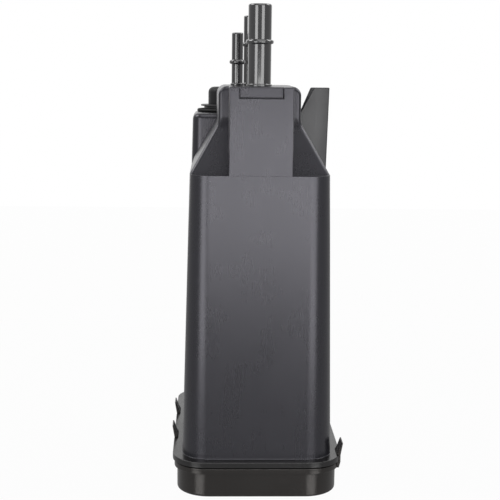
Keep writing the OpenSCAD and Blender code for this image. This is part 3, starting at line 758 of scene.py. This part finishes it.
class CANISTER_OT_ports(bpy.types.Operator):
    """Three hose ports, each a tube with a bead, a round tip and a collar at its foot"""
    bl_idname = "canister.ports"
    bl_label = "Hose ports"

    def execute(self, context):
        sizes, foot_z = context.scene.canister_ports, context.scene.canister_dome.top_z
        material = gloss_plastic("port plastic", context.scene.canister_colours.port, roughness=0.13)
        tank = (sizes.tank / 2, sizes.tank_bore / 2, sizes.tank_bead)
        slim = (sizes.slim / 2, sizes.slim_bore / 2, sizes.slim_bead)
        ports = (("tank_port", 0, sizes.tank_y, sizes.tank_z, tank),
                 ("purge_port", sizes.purge_x, sizes.purge_y, sizes.purge_z, slim),
                 ("return_port", sizes.return_x, sizes.return_y, sizes.return_z, slim))
        for name, x, y, tip_z, tube in ports:
            add_piece(turned(self.profile(sizes, foot_z, tip_z, *tube), x, y), name, material, "body_plastic")
        return {"FINISHED"}

    @staticmethod
    def profile(sizes, foot_z, tip_z, radius, bore, bead_in):
        """Half section of a port, from its bore's foot round to its tip."""
        bead_z = tip_z - bead_in
        rim = radius + sizes.bead_rise
        half = sizes.bead / 2
        collar = radius + sizes.collar_out
        collar_z = foot_z + sizes.collar
        root_z = foot_z - sizes.foot
        wall = radius - bore
        return ((bore, root_z, 0), (collar, root_z, 0), (collar, collar_z, sizes.edge),
                (radius, collar_z, sizes.collar_fillet), (radius, bead_z - half, sizes.edge),
                (rim, bead_z - half, half * BEAD_ROUND), (rim, bead_z + half, half * BEAD_ROUND),
                (radius, bead_z + half, sizes.edge), (radius, tip_z, wall * TIP_ROUND),
                (bore, tip_z, wall * BORE_ROUND))


class CANISTER_OT_cover(bpy.types.Operator):
    """Base cover: a shallow cup, its flange and its snap arms"""
    bl_idname = "canister.cover"
    bl_label = "Base cover"

    def execute(self, context):
        sizes, vessel = context.scene.canister_cover, context.scene.canister_vessel
        material = satin_plastic("cover plastic", context.scene.canister_colours.cover, roughness=0.2,
                                 spread=0.03, specular=0.62, tint=(1.0, 0.96, 0.93))
        half_x, half_y = sizes.width / 2, sizes.depth / 2
        bm = bmesh.new()
        face = rounded_face(bm, half_x, half_y, sizes.cup_z, sizes.corner)
        face.normal_flip()
        wall = sizes.cup_z - sizes.foot_round
        raise_face(bm, face, [(sizes.cup_draft, wall)] + quarter_steps(sizes.foot_round, hollow=False))
        add_piece(bm, "cover_cup", material, "cover_plastic", "base_cover")
        bm = bmesh.new()
        rounded_face(bm, half_x + sizes.rim, half_y + sizes.rim, sizes.cup_z, sizes.flange_corner)
        thicken(bm, (0, 0, sizes.flange_z - sizes.cup_z))
        round_edges(bm, sharp_edges(bm), sizes.edge)
        add_piece(bm, "cover_flange", material, "cover_plastic")
        for word, side, places in SNAP_ARMS:
            for number, y in enumerate(places, 1):
                bm = self.snap_arm(sizes, vessel, side, y)
                add_piece(bm, f"snap_arm_{word}_{number}", material, "cover_plastic")
        return {"FINISHED"}

    @staticmethod
    def snap_arm(sizes, vessel, side, y):
        """One arm: a root on the cover's flange, a barb over the body's and a leaning release tab."""
        cover_x = sizes.width / 2 + sizes.rim
        outer = cover_x + sizes.arm_out
        inner = outer - sizes.arm_thick
        root = inner - sizes.arm_thick / 2
        slope = math.tan(sizes.arm_lean)
        hook_z = vessel.foot_z + sizes.barb_gap
        barb_z = hook_z + sizes.barb_height
        tip_z = vessel.foot_z + sizes.arm_height
        tip = outer + sizes.arm_height * slope
        outline = ((root, sizes.cup_z), (cover_x, sizes.cup_z), (outer, sizes.flange_z),
                   (outer, vessel.foot_z), (tip, tip_z), (tip - sizes.arm_tip, tip_z),
                   (inner + (barb_z - vessel.foot_z) * slope, barb_z), (inner - sizes.barb, hook_z),
                   (inner, hook_z), (inner, sizes.flange_z), (root, sizes.flange_z))
        bm = bmesh.new()
        bm.faces.new([bm.verts.new((side * x, y - sizes.arm_width / 2, z)) for x, z in outline])
        thicken(bm, (0, sizes.arm_width, 0))
        round_edges(bm, sharp_edges(bm), sizes.arm_edge, segments=2)
        return bm


class CANISTER_OT_valve(bpy.types.Operator):
    """Vent valve: its seal, its waisted body and its cap"""
    bl_idname = "canister.valve"
    bl_label = "Vent valve"

    def execute(self, context):
        sizes, colours = context.scene.canister_valve, context.scene.canister_colours
        bore = sizes.neck - sizes.neck_wall
        neck_z = sizes.seal_z - sizes.neck_depth
        seal = ((sizes.neck, sizes.seal_z, 0), (sizes.seal, sizes.seal_z, sizes.seal_round),
                (sizes.seal, sizes.waist_z, sizes.seal_round), (sizes.neck, sizes.waist_z, 0))
        body = ((bore, neck_z, 0), (sizes.neck, neck_z, 0), (sizes.neck, sizes.waist_z, 0),
                (sizes.waist, sizes.waist_z, sizes.waist_round),
                (sizes.waist, sizes.lip_z, sizes.waist_round), (sizes.lip, sizes.lip_z, sizes.lip_foot),
                (sizes.lip, sizes.cap_z, sizes.lip_round), (bore, sizes.cap_z, 0))
        cap = ((0, sizes.cap_z, 0), (sizes.cap, sizes.cap_z, sizes.cap_foot),
               (sizes.cap, sizes.top_z, sizes.cap_round), (0, sizes.top_z, 0))
        body_finish = satin_plastic("valve plastic", colours.valve, roughness=0.4, spread=0.05, specular=0.36)
        cap_finish = satin_plastic("cap plastic", colours.cap, roughness=0.45, spread=0.05, specular=0.25)
        parts = (("vent_seal", seal, rubber("seal rubber", colours.rubber), "seal_rubber", "vent_valve_seal"),
                 ("vent_body", body, body_finish, "valve_plastic", "vent_valve_body"),
                 ("vent_cap", cap, cap_finish, "valve_plastic", "vent_valve_cap"))
        for name, profile, material, slot, node in parts:
            add_piece(turned(profile, sizes.x, sizes.y), name, material, slot, node)
        return {"FINISHED"}


class CANISTER_OT_filling(bpy.types.Operator):
    """Finishes of the seal and of the pieces inside, whose solids stay as they are"""
    bl_idname = "canister.filling"
    bl_label = "Filling"

    def execute(self, context):
        colours = context.scene.canister_colours
        plate = satin_plastic("plate plastic", colours.plate, roughness=0.5, spread=0.05, specular=0.45)
        finishes = (
            (bpy.data.materials["seal rubber"], ("cover_seal",)),
            (granules("activated carbon", colours.carbon), ("main_carbon_bed", "rear_carbon_bed")),
            (felt("filter felt", colours.felt),
             ("main_top_filter", "rear_top_filter", "main_bottom_filter", "rear_bottom_filter")),
            (plate, ("main_pressure_plate", "rear_pressure_plate")),
            (spring_steel("spring steel", colours.steel), ("front_spring", "middle_spring", "rear_spring")),
        )
        for material, nodes in finishes:
            for node in nodes:
                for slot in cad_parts[node].material_slots:
                    slot.material = material
        return {"FINISHED"}


class CANISTER_OT_stage(bpy.types.Operator):
    """Plain pale floor, white backdrop and surroundings, soft lamps and the camera"""
    bl_idname = "canister.stage"
    bl_label = "Stage"

    def execute(self, context):
        scene = context.scene
        sizes = scene.canister_stage
        scene.view_settings.view_transform = "Standard"
        self.floor(sizes)
        self.backdrop()
        self.surroundings(scene, sizes)
        for name, level, place, target, width, height in LAMPS:
            self.lamp(scene, name, getattr(sizes, level), place, target, width, height)
        self.camera(scene, sizes)
        return {"FINISHED"}

    @staticmethod
    def seen(tree, mirrored):
        """1 for rays that show the background straight or passed through, a share of it for mirrored ones."""
        camera, glossy, through = (tree.node("ShaderNodeLightPath", output=name)
                                   for name in ("Is Camera Ray", "Is Glossy Ray", "Is Transmission Ray"))
        return camera.most(glossy * mirrored).most(through)

    @staticmethod
    def sheet(name, tree, plain, share, half, place):
        """Flat sheet of the stage that glows white by a share and is plain otherwise."""
        glow = tree.node("ShaderNodeEmission", sockets={"Color": WHITE, "Strength": 1.0})
        material = tree.show(tree.node("ShaderNodeMixShader", sockets={0: share, 1: plain, 2: glow}))
        bm = bmesh.new()
        bmesh.ops.create_grid(bm, x_segments=1, y_segments=1, size=half, matrix=place)
        sheet = add_object(bm, name, material)
        return sheet

    def floor(self, sizes):
        tree = Shader(bpy.data.materials.new("pale floor"))
        plain = tree.node("ShaderNodeBsdfPrincipled", sockets={
            "Base Color": (0.15, 0.15, 0.15, 1), "Roughness": 0.1})
        share = self.seen(tree, sizes.mirrored) * sizes.glow
        floor = self.sheet("floor", tree, plain, share, FLOOR_HALF, Matrix())
        # Mirrored rays pass the floor, so that the cup and the lower walls mirror the lamps' ends below it
        floor.visible_glossy = False

    def backdrop(self):
        tree = Shader(bpy.data.materials.new("white backdrop"))
        plain = tree.node("ShaderNodeBsdfDiffuse", sockets={"Color": (0.6, 0.6, 0.6, 1)})
        upright = Matrix.Translation((0, BACKDROP_Y, BACKDROP_HALF)) @ Matrix.Rotation(QUARTER, 4, "X")
        self.sheet("backdrop", tree, plain, self.seen(tree, 1), BACKDROP_HALF, upright)

    def surroundings(self, scene, sizes):
        scene.world = scene.world or bpy.data.worlds.new("surroundings")
        tree = Shader(scene.world)
        seen = self.seen(tree, sizes.mirrored)
        strength = seen + (1 - seen) * sizes.ambient
        sky = tree.node("ShaderNodeBackground", sockets={"Color": WHITE, "Strength": strength})
        tree.node("ShaderNodeOutputWorld", sockets={"Surface": sky})

    @staticmethod
    def lamp(scene, name, radiance, place, target, width, height):
        """Soft box of an even radiance, which the camera doesn't see."""
        light = bpy.data.lights.new(name, "AREA")
        light.shape = "RECTANGLE"
        light.size = width
        light.size_y = height
        light.energy = radiance * math.pi * width * height
        lamp = bpy.data.objects.new(name, light)
        lamp.visible_camera = False
        lamp.location = place
        lamp.rotation_euler = (Vector(target) - Vector(place)).to_track_quat("-Z", "Y").to_euler()
        scene.collection.objects.link(lamp)

    @staticmethod
    def camera(scene, sizes):
        """Camera turned by its yaw, then its dip, then its roll."""
        data = bpy.data.cameras.new("camera")
        data.sensor_width = 36
        data.lens = sizes.lens
        camera = bpy.data.objects.new("camera", data)
        level = math.cos(sizes.pitch)
        ahead = Vector((math.sin(sizes.yaw) * level, math.cos(sizes.yaw) * level, -math.sin(sizes.pitch)))
        right = Vector((math.cos(sizes.yaw), -math.sin(sizes.yaw), 0))
        up = right.cross(ahead)
        across = math.cos(sizes.roll) * right + math.sin(sizes.roll) * up
        upright = math.cos(sizes.roll) * up - math.sin(sizes.roll) * right
        turn = Matrix((across, upright, -ahead)).transposed()
        camera.matrix_world = Matrix.Translation(sizes.camera) @ turn.to_4x4()
        scene.collection.objects.link(camera)
        scene.camera = camera


class CANISTER_PT_sidebar(bpy.types.Panel):
    """Sizes, colours and steps of the canister"""
    bl_idname = "CANISTER_PT_sidebar"
    bl_label = "Charcoal canister"
    bl_space_type = "VIEW_3D"
    bl_region_type = "UI"
    bl_category = "Canister"

    def draw(self, context):
        for step in STEPS:
            self.layout.operator(step.bl_idname)
        for name, group in GROUPS.items():
            box = self.layout.box()
            box.label(text=group.__doc__)
            for prop in group.__annotations__:
                box.prop(getattr(context.scene, name), prop)


GROUPS = {
    "canister_vessel": VesselSizes, "canister_dome": DomeSizes, "canister_ports": PortSizes,
    "canister_valve": ValveSizes, "canister_cover": CoverSizes, "canister_colours": Colours,
    "canister_stage": StageSizes,
}
STEPS = (CANISTER_OT_vessel, CANISTER_OT_flange, CANISTER_OT_dome, CANISTER_OT_block, CANISTER_OT_ear,
         CANISTER_OT_ports, CANISTER_OT_cover, CANISTER_OT_valve, CANISTER_OT_filling, CANISTER_OT_stage)
CLASSES = (*GROUPS.values(), *STEPS, CANISTER_PT_sidebar)


def register():
    for cls in CLASSES:
        bpy.utils.register_class(cls)
    for name, group in GROUPS.items():
        setattr(bpy.types.Scene, name, PointerProperty(type=group))


def unregister():
    for name in GROUPS:
        delattr(bpy.types.Scene, name)
    for cls in reversed(CLASSES):
        bpy.utils.unregister_class(cls)


def main():
    register()
    for step in STEPS:
        group, name = step.bl_idname.split(".")
        getattr(getattr(bpy.ops, group), name)()


if __name__ == "__main__":
    main()
